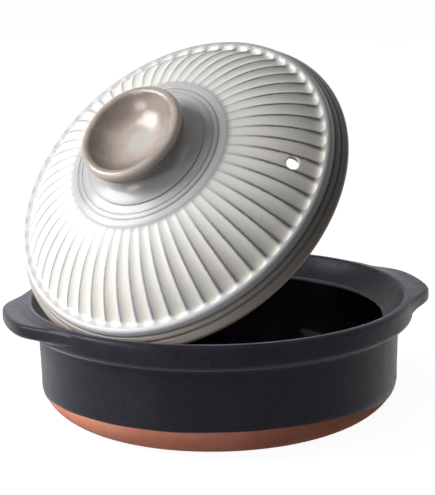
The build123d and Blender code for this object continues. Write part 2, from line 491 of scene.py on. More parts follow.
@dataclass(frozen=True)
class BlackGlaze:
    """Iron black glaze."""

    firing: Firing
    deep: Colour
    pale: Colour
    roughness: Range
    specular: float
    sheen: float
    relief: float
    tint: Colour = (0.84, 0.81, 1.0)
    sheen_roughness: float = 0.36
    mottle: Range = (0.18, 0.38)
    clouds: Clouds = Clouds(38, 5)
    grain: Clouds = Clouds(620, 3, 0.6)
    patches: Clouds = Clouds(150, 4)
    swell: Clouds = Clouds(75, 2)
    grain_relief: float = 0.12

    def mix(self) -> Material:
        """Returns the glaze as a material."""
        recipe = Recipe(bpy.data.materials.new(self.firing.value))
        place = recipe.on_object()
        grain = recipe.noise(place, self.grain)
        mottle = recipe.sum("MULTIPLY", recipe.noise(place, self.clouds), grain)
        fine = recipe.sum("MULTIPLY", grain, self.grain_relief)
        relief = recipe.sum("ADD", fine, recipe.noise(place, self.swell))
        return recipe.shade(
            {
                "Base Color": recipe.blend(recipe.spread(mottle, self.mottle), self.deep, self.pale),
                "Roughness": recipe.spread(recipe.noise(place, self.patches), CLOUD_RANGE, self.roughness),
                "Specular IOR Level": self.specular,
                "Specular Tint": self.tint,
                "Sheen Weight": self.sheen,
                "Sheen Roughness": self.sheen_roughness,
                "Sheen Tint": self.tint,
                "Normal": recipe.bump(relief, self.relief),
            }
        )


SATIN_BLACK = BlackGlaze(
    Firing.SATIN,
    deep=(0.0078, 0.0072, 0.01),
    pale=(0.017, 0.0155, 0.0215),
    roughness=(0.33, 0.42),
    specular=0.16,
    sheen=0.55,
    relief=0.16,
)
GLOSS_BLACK = BlackGlaze(
    Firing.GLOSS,
    deep=(0.0026, 0.0024, 0.0033),
    pale=(0.0055, 0.005, 0.007),
    roughness=(0.05, 0.1),
    specular=0.01,
    sheen=0.0,
    relief=0.08,
)


@dataclass(frozen=True)
class BareClay:
    """Unglazed red stoneware with fine grog in it."""

    lit: Colour = (0.74, 0.285, 0.19)
    deep: Colour = (0.62, 0.215, 0.135)
    cloud_range: Range = (0.35, 0.68)
    clouds: Clouds = Clouds(30, 4)
    grain: Clouds = Clouds(900, 4, 0.7)
    grog: Colour = (0.36, 0.12, 0.075)
    grog_scale: float = 420
    grog_size: Range = (0.06, 0.2)
    grog_strength: float = 0.75
    roughness: Range = (0.72, 0.9)
    specular: float = 0.25
    relief: float = 0.12
    relief_strength: float = 0.7

    def mix(self) -> Material:
        """Returns the clay as a material."""
        recipe = Recipe(bpy.data.materials.new("bare_clay"))
        place = recipe.on_object()
        clouds = recipe.spread(recipe.noise(place, self.clouds), self.cloud_range)
        grain = recipe.noise(place, self.grain)
        specks = recipe.specks(place, self.grog_scale)
        grog = recipe.spread(specks, self.grog_size, (self.grog_strength, 0.0))
        return recipe.shade(
            {
                "Base Color": recipe.blend(grog, recipe.blend(clouds, self.lit, self.deep), self.grog),
                "Roughness": recipe.spread(grain, CLOUD_RANGE, self.roughness),
                "Specular IOR Level": self.specular,
                "Normal": recipe.bump(grain, self.relief, self.relief_strength),
            }
        )


@dataclass(frozen=True)
class TaupeGlaze:
    """Glossy taupe glaze that breaks paler where it runs thick, with a pale patch in the middle of the
    dish.
    """

    thin: Colour = (0.20, 0.155, 0.125)
    thick: Colour = (0.45, 0.385, 0.34)
    dish_patch: Colour = (0.47, 0.44, 0.41)
    roughness: Range = (0.19, 0.27)
    clouds: Clouds = Clouds(55, 5, 0.6)
    grain: Clouds = Clouds(500, 3)
    swell: Clouds = Clouds(90, 2)
    relief: float = 0.12
    drift: float = 0.16
    dish_patch_radii: Range = (5.2, 13.0)
    dish_patch_drift: float = 2.5
    dish_shares: Range = (0.7, 0.75)
    # A mark on the outline, the length past it, and how thin the glaze is there.
    thin_shares: tuple[tuple[str, float, float], ...] = (
        ("neck", 0, 0.35),
        ("lip", 0, 0.75),
        ("lip", 2.2, 0.2),
        ("dish_edge", -6.0, 0.15),
        ("dish_edge", -2.5, 0.5),
        ("dish_edge", 0, 0.75),
        ("dish_edge", 9, 0.6),
        ("dish_edge", 18, 0.2),
        ("dish_floor", 0, 0.1),
    )

    def mix(self, outline: Outline) -> Material:
        """Mixes the glaze for the knob.

        Args:
            outline: The knob's outline with its marks.

        Returns:
            The glaze as a material.
        """
        recipe = Recipe(bpy.data.materials.new("taupe_glaze"))
        place = recipe.on_object()
        radius, along = recipe.on_map("Outline")
        clouds = recipe.noise(place, self.clouds)
        rows = [(mark, past, (share, share, share)) for mark, past, share in self.thin_shares]
        drift = recipe.spread(clouds, CLOUD_RANGE, (-self.drift, self.drift))
        thinness = recipe.sum("ADD", recipe.bands(along, outline, rows), drift)
        colour = recipe.blend(recipe.spread(thinness, (0.0, 1.0)), self.thick, self.thin)
        # A pale patch in the middle of the dish floor, its edge moved at random by the clouds.
        wander = recipe.spread(clouds, CLOUD_RANGE, (-self.dish_patch_drift, self.dish_patch_drift))
        dish_patch = recipe.spread(recipe.sum("ADD", radius, wander), self.dish_patch_radii, (1.0, 0.0))
        start, end = self.dish_shares
        dish = recipe.spread(along, (start * outline.length(), end * outline.length()))
        return recipe.shade(
            {
                "Base Color": recipe.blend(recipe.sum("MULTIPLY", dish_patch, dish), colour, self.dish_patch),
                "Roughness": recipe.spread(recipe.noise(place, self.grain), CLOUD_RANGE, self.roughness),
                "Normal": recipe.bump(recipe.noise(place, self.swell), self.relief),
            }
        )


@dataclass(frozen=True)
class GlazeTones:
    """The tones of the white glaze where it doesn't lie in a flute; each set has the light and shade of
    one side of the lid painted in.
    """

    ridge: Colour
    margin: Colour
    band: Colour
    groove: Colour
    collar: Colour
    ring: Colour
    neck: Colour


# Tones painted for the side of the lid toward -X, which faces the key lamp: painted light. The neck tone
# is painted shade under the knob.
LIT_SIDE_TONES = GlazeTones(
    ridge=(0.33, 0.325, 0.35),
    margin=(0.66, 0.66, 0.69),
    band=(0.44, 0.395, 0.35),
    groove=(0.10, 0.08, 0.065),
    collar=(0.47, 0.47, 0.48),
    ring=(0.26, 0.24, 0.23),
    neck=(0.30, 0.29, 0.28),
)
# Tones painted for the side of the lid toward +X, away from the key lamp: painted shade darkens its
# ridges, margin, bands, grooves, rings and neck, and the collar is painted lighter against the knob's
# shadow.
SHADED_SIDE_TONES = GlazeTones(
    ridge=(0.062, 0.047, 0.04),
    margin=(0.27, 0.265, 0.265),
    band=(0.066, 0.06, 0.052),
    groove=(0.018, 0.016, 0.014),
    collar=(0.62, 0.615, 0.61),
    ring=(0.14, 0.12, 0.105),
    neck=(0.05, 0.045, 0.042),
)


@dataclass(frozen=True)
class FlutedGlaze:
    """Warm white glaze that pools in the flutes and runs thin and brown over ridges and bands, with light
    and shade painted across the lid from side to side.
    """

    ivory: Colour = (0.80, 0.775, 0.70)
    pooled: Colour = (0.75, 0.74, 0.695)
    clay: Colour = (0.5, 0.36, 0.26)
    # Painted light and shade: lit-side tones and shaded-side tones, blended along the object's X between
    # the two ends of the reach below, in metres.
    lit_side: GlazeTones = LIT_SIDE_TONES
    shaded_side: GlazeTones = SHADED_SIDE_TONES
    painted_shade_reach: Range = (-0.1, 0.06)
    hollow_range: Range = (0.02, 0.95)
    clouds: Clouds = Clouds(26, 4)
    grain: Clouds = Clouds(480, 3, 0.6)
    grain_range: Range = (0.2, 0.8)
    swell: Clouds = Clouds(110, 2)
    relief: float = 0.12
    grain_relief: float = 0.15
    ridge_width: Range = (0.42, 1.05)
    ridge_drift: float = 0.18
    halo_width: Range = (0.5, 2.2)
    halo_strength: float = 0.14
    ridge_start: Range = (3.4, 0.8)
    ridge_fade: Range = (30, 1)
    faded_strength: float = 0.35
    ridge_stop: Range = (1.0, 0.4)
    flute_roughness: float = 0.36
    collar_roughness: float = 0.2
    collar_blend: float = 4.0
    roughness_drift: Range = (-0.04, 0.05)
    specular: float = 0.34
    # A mark on the outline, the length past it, and the tone or colour there.
    zones: tuple[tuple[str, float, str], ...] = (
        ("inner_edge", -1, "ivory"),
        ("inner_edge", 0, "clay"),
        ("edge", 0, "clay"),
        ("edge", 1.5, "band"),
        ("lower_groove", -0.9, "band"),
        ("lower_groove", 0, "groove"),
        ("lower_groove", 0.9, "band"),
        ("upper_groove", -0.9, "band"),
        ("upper_groove", 0, "groove"),
        ("upper_groove", 1.2, "margin"),
        ("dome_foot", 5, "margin"),
        ("dome_foot", 13, "pooled"),
        ("crown", -3, "pooled"),
        ("crown", 0, "collar"),
        ("outer_ring", -0.7, "collar"),
        ("outer_ring", 0, "ring"),
        ("outer_ring", 0.7, "collar"),
        ("inner_ring", -0.7, "collar"),
        ("inner_ring", 0, "ring"),
        ("inner_ring", 0.7, "collar"),
        ("neck_foot", -0.5, "collar"),
        ("neck_foot", 0, "ring"),
        ("neck_foot", 1.2, "collar"),
        # Painted shade: the neck darkens up toward the knob, where the knob shades it.
        ("neck_top", 0, "neck"),
    )

    def mix(self, outline: Outline) -> Material:
        """Mixes the glaze for the lid.

        Args:
            outline: The lid's outline with its marks.

        Returns:
            The glaze as a material.
        """
        recipe = Recipe(bpy.data.materials.new("white_glaze"))
        place = recipe.on_object()
        across, along = recipe.on_map("Outline")
        grain = recipe.noise(place, self.grain)
        # Painted light and shade: colours go from the lit-side tones at -X to the shaded-side tones at +X;
        # thick holds the lit-side bands and thin holds the shaded-side bands.
        painted_shade_share = recipe.spread(recipe.split(place)[0], self.painted_shade_reach)
        thick = recipe.bands(along, outline, self.rows(self.lit_side))
        thin = recipe.bands(along, outline, self.rows(self.shaded_side))
        base = recipe.blend(painted_shade_share, thick, thin)
        clouds = recipe.spread(recipe.noise(place, self.clouds), CLOUD_RANGE)
        pooled = recipe.blend(clouds, self.ivory, self.pooled)
        # Deep flute middles take the pooled glaze; toward the flutes' outer ends their shallow sides and
        # tips keep the margin tone: partly thinner glaze, partly painted shade beside the ridges and on
        # the tips.
        hollow = recipe.spread(recipe.on_map("Hollow")[0], self.hollow_range)
        colour = recipe.blend(hollow, base, pooled)
        drift = recipe.spread(grain, self.grain_range, (-self.ridge_drift, self.ridge_drift))
        ragged = recipe.sum("ADD", across, drift)
        line = recipe.spread(ragged, self.ridge_width, (1.0, 0.0))
        halo = recipe.spread(ragged, self.halo_width, (self.halo_strength, 0.0))
        inner = outline.marks["crown"]
        outer = outline.marks["ridge_end"]
        fade = (inner - self.ridge_fade[0], inner - self.ridge_fade[1])
        strength = recipe.spread(along, fade, (1.0, self.faded_strength))
        starts = recipe.spread(along, (outer - self.ridge_start[0], outer - self.ridge_start[1]))
        stops = recipe.spread(along, (inner - self.ridge_stop[0], inner + self.ridge_stop[1]), (1.0, 0.0))
        zone = recipe.sum("MULTIPLY", starts, stops)
        shade = recipe.sum("MULTIPLY", recipe.sum("MAXIMUM", line, halo), zone)
        shade = recipe.sum("MULTIPLY", shade, strength)
        # Painted light and shade: the ridge lines, where the glaze breaks thin, are paler on the lit side
        # and darker on the shaded side.
        ridge = recipe.blend(painted_shade_share, self.lit_side.ridge, self.shaded_side.ridge)
        collar = (inner, inner + self.collar_blend)
        satin = recipe.spread(along, collar, (self.flute_roughness, self.collar_roughness))
        fine = recipe.sum("MULTIPLY", grain, self.grain_relief)
        relief = recipe.sum("ADD", recipe.noise(place, self.swell), fine)
        uneven = recipe.spread(grain, CLOUD_RANGE, self.roughness_drift)
        return recipe.shade(
            {
                "Base Color": recipe.blend(shade, colour, ridge),
                "Roughness": recipe.sum("ADD", satin, uneven),
                "Specular IOR Level": self.specular,
                "Normal": recipe.bump(relief, self.relief),
            }
        )

    def rows(self, tones: GlazeTones) -> list[Row]:
        """Lists the colours of the glaze along the lid's outline.

        Args:
            tones: The tones of one side of the lid.

        Returns:
            A mark, the length past it and the colour there, in order.
        """
        colours = {**vars(tones), "ivory": self.ivory, "pooled": self.pooled, "clay": self.clay}
        return [(mark, past, colours[tone]) for mark, past, tone in self.zones]


@dataclass(frozen=True)
class GlazeLap:
    """How the lower edge of the dipped glaze rises and falls round the pot."""

    front: float = math.radians(-105.3)
    front_rise: float = 0.6
    right_turn: Range = (math.radians(30), math.radians(75))
    right_drop: float = 5.4
    left_turn: Range = (math.radians(58), math.radians(92))
    left_drop: float = 4.4
    # Size in millimetres, number round the pot, and phase.
    waves: tuple[Place, ...] = ((0.18, 7, 0.6), (0.12, 17, 2.1))
    skin: float = 1.4
    bottom: float = 15.0
    top: float = 29.0
    full_top: float = 22.0

    def rise(self, turn: np.ndarray) -> np.ndarray:
        """Finds how far the edge stands above its drawn height.

        Args:
            turn: Directions from the pot's axis.

        Returns:
            The rise in each direction, in millimetres.
        """
        away = np.angle(np.exp(1j * (turn - self.front)))
        wave = sum(size * np.sin(count * turn + phase) for size, count, phase in self.waves)
        right = self.right_drop * smooth_step(away, *self.right_turn)
        left = self.left_drop * smooth_step(-away, *self.left_turn)
        return self.front_rise + wave - right - left


@dataclass
class Pot:
    """The thrown pot: a black glazed vessel over a bare clay underside."""

    rim_radius: float = 127.45
    rim_height: float = 79.0
    heel_height: float = 62.4
    heel_round: float = 5.0
    wall_top_radius: float = 118.1
    wall_top_round: float = 4.2
    belly_radius: float = 117.07
    belly_height: float = 24.0
    foot_radius: float = 82.6
    belly_exponent: float = 1.87
    lip_round: float = 3.2
    crest_radius: float = 122.3
    crest_round: float = 2.0
    gallery_foot_radius: float = 111.5
    gallery_depth: float = 14.0
    gallery_hollow_radius: float = 38.0
    mouth_radius: float = 107.5
    bead_round: float = 1.8
    floor_height: float = 10.0
    floor_round: float = 28.0
    glaze_thickness: float = 0.4
    base_thickness: float = 4.5
    gallery_end: Point = (1.15, 1.8)
    wall_foot: float = 6.0
    belly_start: float = 0.4
    belly_points: int = 18
    belly_crowding: float = 1.6
    glaze_line: float = 21.3
    # How far each point of the lower edges stands in from the wall, and its height.
    glaze_edge: tuple[Point, ...] = ((0.1, 21.05), (0.35, 20.9), (1.2, 20.95), (4.5, 21.0))
    foot_edge: tuple[Point, ...] = ((1.2, 0.0), (0.4, 0.12))
    foot_rise: float = 0.45
    base_gap: float = 0.3
    inside_gap: float = 0.5
    lap: GlazeLap = GlazeLap()
    steps: int = 256

    def belly(self, height: np.ndarray) -> np.ndarray:
        """Returns the belly's radius at a height below the belly's widest place."""
        share = np.clip(1 - height / self.belly_height, 0, 1)
        width = self.belly_radius - self.foot_radius
        return self.foot_radius + width * (1 - share**self.belly_exponent) ** (1 / self.belly_exponent)

    def draw_belly(self, outline: Outline, top: float, bottom: float, set_back: float) -> None:
        """Draws the belly's curve, upward or downward.

        Args:
            outline: The outline to go on with.
            top: Height at which the curve starts.
            bottom: Height at which it ends.
            set_back: How far it stands back from the glazed surface.
        """
        lean = np.linspace(0, 1, self.belly_points)
        share = 1 - (1 - lean) ** self.belly_crowding if bottom < top else lean**self.belly_crowding
        for height in top + (bottom - top) * share:
            outline.places.append((float(self.belly(height)) - set_back, float(height)))

    def draw_body(self) -> Outline:
        """Returns the vessel's half section, from its floor over the rim to the glaze line."""
        mouth_height = self.rim_height - self.gallery_depth
        outline = Outline([(0.0, self.floor_height)])
        floor_corner = (self.mouth_radius, self.floor_height)
        mouth_corner = (self.mouth_radius, mouth_height)
        gallery_foot = (self.gallery_foot_radius, mouth_height)
        gallery_top = (self.crest_radius, self.rim_height)
        lip_corner = (self.rim_radius, self.rim_height)
        heel_corner = (self.rim_radius, self.heel_height)
        wall_corner = (self.wall_top_radius, self.heel_height)
        belly_top = (self.belly_radius, self.belly_height)
        outline.turn_corner(floor_corner, mouth_corner, self.floor_round, steps=16)
        outline.turn_corner(mouth_corner, gallery_foot, self.bead_round, steps=6)
        outline.line(gallery_foot, spacing=1)
        inset, drop = self.gallery_end
        gallery_end = (self.crest_radius - inset, self.rim_height - drop)
        outline.arc(gallery_end, self.gallery_hollow_radius, spacing=1.2)
        outline.turn_corner(gallery_top, lip_corner, self.crest_round, steps=6)
        outline.turn_corner(lip_corner, heel_corner, self.lip_round, steps=8)
        outline.turn_corner(heel_corner, wall_corner, self.heel_round, steps=7)
        outline.turn_corner(wall_corner, belly_top, self.wall_top_round, steps=8)
        outline.line((self.belly_radius, self.belly_height + self.wall_foot), spacing=3)
        outline.line(belly_top, spacing=1.5)
        self.draw_belly(outline, self.belly_height - self.belly_start, self.glaze_line, set_back=0)
        edge = float(self.belly(np.array(self.glaze_line)))
        for inset, height in self.glaze_edge:
            outline.places.append((edge - inset, height))
        outline.line((self.foot_radius, self.base_thickness), spacing=12)
        outline.line((0.0, self.base_thickness), spacing=30)
        return outline

    def lap_glaze(self, piece: Piece) -> None:
        """Moves the glaze's lower edge up and down round the pot, as the dipped glaze ran.

        Args:
            piece: The vessel.
        """
        points = read_points(piece)
        radius, turn = polar(points)
        height = points[:, 2].copy()
        skin = (radius > self.belly(height) - self.lap.skin) & (height > self.lap.bottom)
        weight = np.where(skin, smooth_step(-height, -self.lap.top, -self.lap.full_top), 0.0)
        inset = self.belly(height) - radius
        height += self.lap.rise(turn) * weight
        fitted = self.belly(height) - inset
        points[:, :2] *= np.where(weight > 0, fitted / np.maximum(radius, 1), 1.0)[:, None]
        points[:, 2] = height
        write_points(piece, points)

    def build_body(self, outside: Material, inside: Material) -> None:
        """Builds and dresses the glazed vessel.

        Args:
            outside: Satin glaze.
            inside: Glossy glaze.
        """
        outline = self.draw_body()
        piece = turned("PotBody", outline, self.steps)
        self.lap_glaze(piece)
        low = self.floor_height - 2 * self.inside_gap
        high = self.rim_height - self.gallery_depth - 2 * self.inside_gap
        for face in piece.data.polygons:
            middle = face.center / MILLIMETRE
            reach = math.hypot(middle.x, middle.y)
            within = low < middle.z < high and reach < self.mouth_radius + self.inside_gap
            face.material_index = 1 if within else 0
        hand_in(piece, "pot", "pot_body", "black_glaze", outside, inside)

    def build_base(self, clay: Material) -> None:
        """Builds and dresses the bare clay underside.

        Args:
            clay: Bare clay.
        """
        outline = Outline([(0.0, 0.0)])
        foot = self.foot_radius - self.glaze_thickness
        for inset, height in self.foot_edge:
            outline.line((foot - inset, height), spacing=12)
        self.draw_belly(outline, self.foot_rise, self.belly_height, self.glaze_thickness)
        top = self.base_thickness - self.base_gap
        outline.line((self.belly_radius - self.base_thickness, self.belly_height), spacing=3)
        outline.line((self.foot_radius, top), spacing=12)
        outline.line((0.0, top), spacing=30)
        piece = turned("PotBase", outline, self.steps)
        hand_in(piece, "pot", "pot_base", "bare_clay", clay)


@dataclass
class Handles:
    """The two flat lugs on the rim, with ends cut at 45 degrees."""

    reach: float = 141.1
    end_reach: float = 168.4
    inner_radius: float = 124.0
    top_height: float = 77.5
    root_bottom: float = 66.0
    tip_bottom: float = 69.0
    top_round: float = 2.4
    bottom_round: float = 2.9
    corner_softness: float = 3.2
    rim_radius: float = 126.5
    rim_softness: float = 3.4
    root_reach: float = 131.0
    top_fillet: float = 1.1
    bottom_fillet: float = 0.8
    fillet_gap: float = 3.0
    face_gap: float = 0.5
    half_angle: float = math.radians(34)
    steps: int = 108

    def draw_section(self) -> Outline:
        """Returns the lug's upright section, from the rim over its top and back below."""
        outline = Outline([(self.inner_radius, self.top_height)])
        tip_top = (self.reach, self.top_height)
        tip_bottom = (self.reach, self.tip_bottom)
        root = (self.inner_radius, self.root_bottom)
        outline.turn_corner(tip_top, tip_bottom, self.top_round, steps=8)
        outline.turn_corner(tip_bottom, root, self.bottom_round, steps=8)
        outline.line(root, spacing=2)
        return outline

    def edge_reach(self, turn: np.ndarray) -> np.ndarray:
        """Returns how far the lug reaches in each direction from the pot's axis."""
        cut = self.end_reach / (np.cos(turn) + np.abs(np.sin(turn)))
        soft = self.corner_softness
        reach = -soft * np.log(np.exp(-self.reach / soft) + np.exp(-cut / soft))
        past_rim = np.log1p(np.exp((reach - self.rim_radius) / self.rim_softness))
        return self.rim_radius + self.rim_softness * past_rim

    def shape_plan(self, piece: Piece) -> None:
        """Draws the lug's outer edge in to its plan and eases its root into the rim.

        Args:
            piece: The lug as an even ring segment.
        """
        points = read_points(piece)
        radius, turn = polar(points)
        edge = self.edge_reach(turn)
        run_end = self.reach - self.bottom_round
        run = (radius - self.inner_radius) / (run_end - self.inner_radius)
        near = self.inner_radius + run * (edge - self.bottom_round - self.inner_radius)
        far = edge - (self.reach - radius)
        fitted = np.where(radius < run_end, near, far)
        root = 1 - smooth_step(fitted, self.rim_radius, self.root_reach)
        upper = points[:, 2] > self.top_height - self.face_gap
        lower = points[:, 2] < self.tip_bottom + self.face_gap
        points[:, 2] += np.where(upper, self.top_fillet * root, 0)
        lower_root = self.bottom_fillet * root * (fitted < self.reach - self.fillet_gap)
        points[:, 2] -= np.where(lower, lower_root, 0)
        points[:, :2] *= (fitted / radius)[:, None]
        write_points(piece, points)

    def build(self, glaze: Material) -> None:
        """Builds the right lug and its mirrored twin.

        Args:
            glaze: Satin glaze.
        """
        outline = self.draw_section()
        start = Matrix.Rotation(self.half_angle, 4, "Z")
        places = [start @ place for place in outline.standing()]
        right = draw_chain("HandleRight", places)
        bpy.ops.mesh.select_all(action="SELECT")
        bpy.ops.mesh.edge_face_add()
        bpy.ops.mesh.delete(type="ONLY_FACE")
        spin(self.steps, 2 * self.half_angle)
        merge_points()
        bpy.ops.mesh.fill_holes(sides=0)
        close_mesh()
        self.shape_plan(right)
        left = right.copy()
        left.data = right.data.copy()
        left.name = "HandleLeft"
        left.data.name = "HandleLeft"
        bpy.context.scene.collection.objects.link(left)
        left.data.transform(Matrix.Scale(-1, 4, Vector((1, 0, 0))))
        left.data.flip_normals()
        hand_in(right, "pot", "handle_right", "black_glaze", glaze)
        hand_in(left, "pot", "handle_left", "black_glaze", glaze)


@dataclass
class LidStand:
    """Where the lid stands: closed on the pot, then turned open about its hinge."""

    joint: dict
    closed_height: float = 67.796

    def placing(self) -> Matrix:
        """Returns the matrix that takes a piece from the lid's own frame to its place."""
        pivot = Vector(self.joint["pos_m"])
        axis = Vector(self.joint["axis"])
        tilt = math.radians(-self.joint["range_deg"][0])
        facing = Matrix.Rotation(math.atan2(axis.y, axis.x), 4, "Z")
        closed = Matrix.Translation((0, 0, self.closed_height * MILLIMETRE)) @ facing
        there = Matrix.Translation(pivot)
        return there @ Matrix.Rotation(tilt, 4, axis) @ there.inverted() @ closed


@dataclass
class LidDome:
    """The lid's shell: edge, two bands, margin, fluted dome, collar and neck, and the steam hole."""

    lid_radius: float = 115.1
    edge_round: float = 2.0
    edge_height: float = 3.3
    lower_groove: Point = (112.5, 7.1)
    upper_groove: Point = (110.4, 10.8)
    groove_width: float = 1.5
    groove_depth: float = 0.7
    margin_corner: Point = (109.4, 16.5)
    margin_inner: Point = (106.6, 16.5)
    margin_round: float = 2.5
    dome_foot: Point = (103.7, 15.1)
    valley_round: float = 2.0
    dome_crown: Point = (54.5, 46.3)
    dome_arc_radius: float = 87.0
    dome_wall: float = 7.0
    collar_step: Point = (53.7, 46.9)
    collar_corner: Point = (40.3, 49.9)
    ring_shares: Range = (0.317, 0.577)
    ring_width: float = 1.1
    ring_depth: float = 0.4
    neck_foot: Point = (40.3, 50.8)
    neck_top: Point = (26.0, 59.5)
    neck_flare_radius: float = 17.0
    flute_count: int = 56
    flute_steps: int = 10
    first_ridge: float = math.radians(1.14)
    ridge_width: float = 0.9
    ridge_end_radius: float = 101.6
    run_out: float = 0.76
    end_fullness: float = 1.5
    tool_radius: float = 11.0
    flute_start: float = 3.0
    crown_inset: float = 0.1
    crown_fade: float = 1.5
    vent_flute: float = 1.5
    vent_radius: float = 92.2
    vent_bore: float = 3.9
    vent_inner_bore: float = 6.4
    vent_round: float = 0.8
    vent_sink: float = 1.1
    vent_flare: float = 0.25
    vent_clearance: float = 2.4
    vent_steps: int = 48
    ridge_crowding: float = 0.055
    outer_corner_round: float = 1.2
    band_crown: float = 3.4
    band_crown_share: float = 0.8

    def draw(self) -> Outline:
        """Returns the lid's half section, from the ceiling round the edge and up to the neck."""
        centre = arc_centre(self.dome_foot, self.dome_crown, self.dome_arc_radius)
        inner_radius = self.dome_arc_radius - self.dome_wall
        ceiling = (centre.x, centre.y + inner_radius)
        mouth = (centre.x + math.sqrt(inner_radius**2 - centre.y**2), 0.0)
        edge = (self.lid_radius, 0.0)
        edge_top = (self.lid_radius, self.edge_height)
        outline = Outline([(0.0, ceiling[1])])
        outline.line(ceiling, spacing=9)
        outline.arc(mouth, -inner_radius, spacing=5)
        outline.mark("inner_edge")
        outline.turn_corner(edge, edge_top, self.edge_round, steps=6)
        outline.mark("edge")
        outline.turn_corner(edge_top, self.lower_groove, self.outer_corner_round, steps=3)
        outline.groove(self.lower_groove, self.upper_groove, self.groove_width, self.groove_depth)
        outline.mark("lower_groove")
        band_end = self.between(self.lower_groove, self.upper_groove, self.band_crown_share)
        outline.arc(band_end, self.band_crown, spacing=0.9)
        outline.groove(self.upper_groove, self.margin_corner, self.groove_width, self.groove_depth)
        outline.mark("upper_groove")
        outline.turn_corner(self.margin_corner, self.margin_inner, self.margin_round, steps=7)
        spoke = Vector(self.dome_foot) - centre
        ahead = Vector(self.dome_foot) + Vector((-spoke.y, spoke.x)).normalized()
        outline.turn_corner(self.dome_foot, tuple(ahead), self.valley_round, steps=5)
        outline.mark("dome_foot")
        outline.arc(self.dome_crown, self.dome_arc_radius, spacing=1.45)
        outline.mark("crown")
        outline.line(self.collar_step, spacing=0.6)
        for share, name in zip(self.ring_shares, ("outer_ring", "inner_ring")):
            ring = self.between(self.collar_step, self.collar_corner, share)
            outline.groove(ring, self.collar_corner, self.ring_width, self.ring_depth)
            outline.mark(name)
        outline.line(self.collar_corner, spacing=2)
        outline.mark("neck_foot")
        outline.line(self.neck_foot, spacing=0.6)
        outline.arc(self.neck_top, -self.neck_flare_radius, spacing=1.2)
        outline.mark("neck_top")
        outline.line((0.0, self.neck_top[1]), spacing=14)
        return outline

    @staticmethod
    def between(start: Point, end: Point, share: float) -> Point:
        """Returns the point that divides a line at a share of its length."""
        return tuple(Vector(start).lerp(Vector(end), share))

    def crowd_ridges(self, points: np.ndarray) -> np.ndarray:
        """Turns the points of each flute toward its ridges, where the form changes fastest.

        Args:
            points: Points of the evenly turned lid.

        Returns:
            The angle of each point past the nearest ridge, as a share of a flute.
        """
        radius, turn = polar(points)
        pitch = 2 * math.pi / self.flute_count
        flutes = turn / pitch
        flutes = flutes - self.ridge_crowding * np.sin(2 * math.pi * flutes)
        turn = flutes * pitch + self.first_ridge
        points[:, 0] = radius * np.cos(turn)
        points[:, 1] = radius * np.sin(turn)
        return flutes - np.round(flutes)

    def scoop(self, piece: Piece, outline: Outline) -> None:
        """Scoops out the flutes and keeps what the glaze needs to know about them.

        Args:
            piece: The turned lid.
            outline: Its outline with marks.
        """
        points = read_points(piece)
        numbers = nearest_on(outline, points)
        share = self.crowd_ridges(points)
        lengths = outline.lengths()
        along = lengths[numbers]
        places = np.array(outline.places)
        tangents = np.gradient(places, axis=0)
        tangents /= np.linalg.norm(tangents, axis=1)[:, None]
        radius = places[numbers, 0]
        arc = (lengths > outline.marks["upper_groove"]) & (lengths < outline.marks["crown"])
        order = np.argsort(places[arc, 0])
        ridge_end = float(np.interp(self.ridge_end_radius, places[arc, 0][order], lengths[arc][order]))
        outline.marks["ridge_end"] = ridge_end
        reach = np.clip(radius, self.dome_crown[0], self.ridge_end_radius)
        pitch = 2 * reach * math.sin(math.pi / self.flute_count)
        half = (pitch - self.ridge_width) / 2
        across = (0.5 - np.abs(share)) * pitch
        beyond = half * (np.maximum(ridge_end - along, 0) * self.run_out / half) ** self.end_fullness
        depth = np.sqrt(np.maximum(self.tool_radius**2 - across**2 - beyond**2, 0))
        depth -= np.sqrt(self.tool_radius**2 - half**2)
        start = outline.marks["upper_groove"] + self.flute_start
        outside = (along > start) & (along < outline.marks["crown"])
        inner = outline.marks["crown"] - self.crown_inset
        fade = smooth_step(-along, -inner, -inner + self.crown_fade)
        depth = np.where(outside, np.maximum(depth, 0) * fade, 0)
        turn = polar(points)[1]
        inward = np.column_stack((-tangents[numbers, 1], tangents[numbers, 0]))
        points[:, 0] += inward[:, 0] * depth * np.cos(turn)
        points[:, 1] += inward[:, 0] * depth * np.sin(turn)
        points[:, 2] += inward[:, 1] * depth
        write_points(piece, points)
        write_map(piece, "Outline", np.abs(share) * pitch, along)
        write_map(piece, "Hollow", depth, along)

    def pierce(self, piece: Piece) -> None:
        """Cuts the steam hole, with a softly rounded mouth, square to the dome.

        Args:
            piece: The fluted lid in its own frame.
        """
        centre = arc_centre(self.dome_foot, self.dome_crown, self.dome_arc_radius)
        slope = math.asin((self.vent_radius - centre.x) / self.dome_arc_radius)
        height = centre.y + self.dome_arc_radius * math.cos(slope)
        bottom = -2 * self.dome_wall
        top = self.vent_clearance - self.vent_sink
        outline = Outline([(0.0, bottom)])
        outline.line((self.vent_inner_bore, bottom), spacing=9)
        outline.line((self.vent_inner_bore, -self.dome_wall), spacing=9)
        outline.line((self.vent_bore, -self.vent_sink - self.vent_round), spacing=6)
        lip = self.vent_bore + self.vent_round
        outline.arc((lip, -self.vent_sink), -self.vent_round, spacing=0.25)
        outline.line((lip + self.vent_flare, top), spacing=3)
        outline.line((0.0, top), spacing=9)
        cutter = turned("SteamHoleCutter", outline, self.vent_steps)
        turn = self.first_ridge + self.vent_flute * 2 * math.pi / self.flute_count
        place = Matrix.Translation((self.vent_radius * MILLIMETRE, 0, height * MILLIMETRE))
        lean = Matrix.Rotation(slope, 4, "Y")
        cutter.data.transform(Matrix.Rotation(turn, 4, "Z") @ place @ lean)
        select_alone(piece)
        cut = piece.modifiers.new("SteamHole", "BOOLEAN")
        cut.operation = "DIFFERENCE"
        cut.solver = "EXACT"
        cut.object = cutter
        bpy.ops.object.modifier_apply(modifier=cut.name)
        bpy.data.objects.remove(cutter)

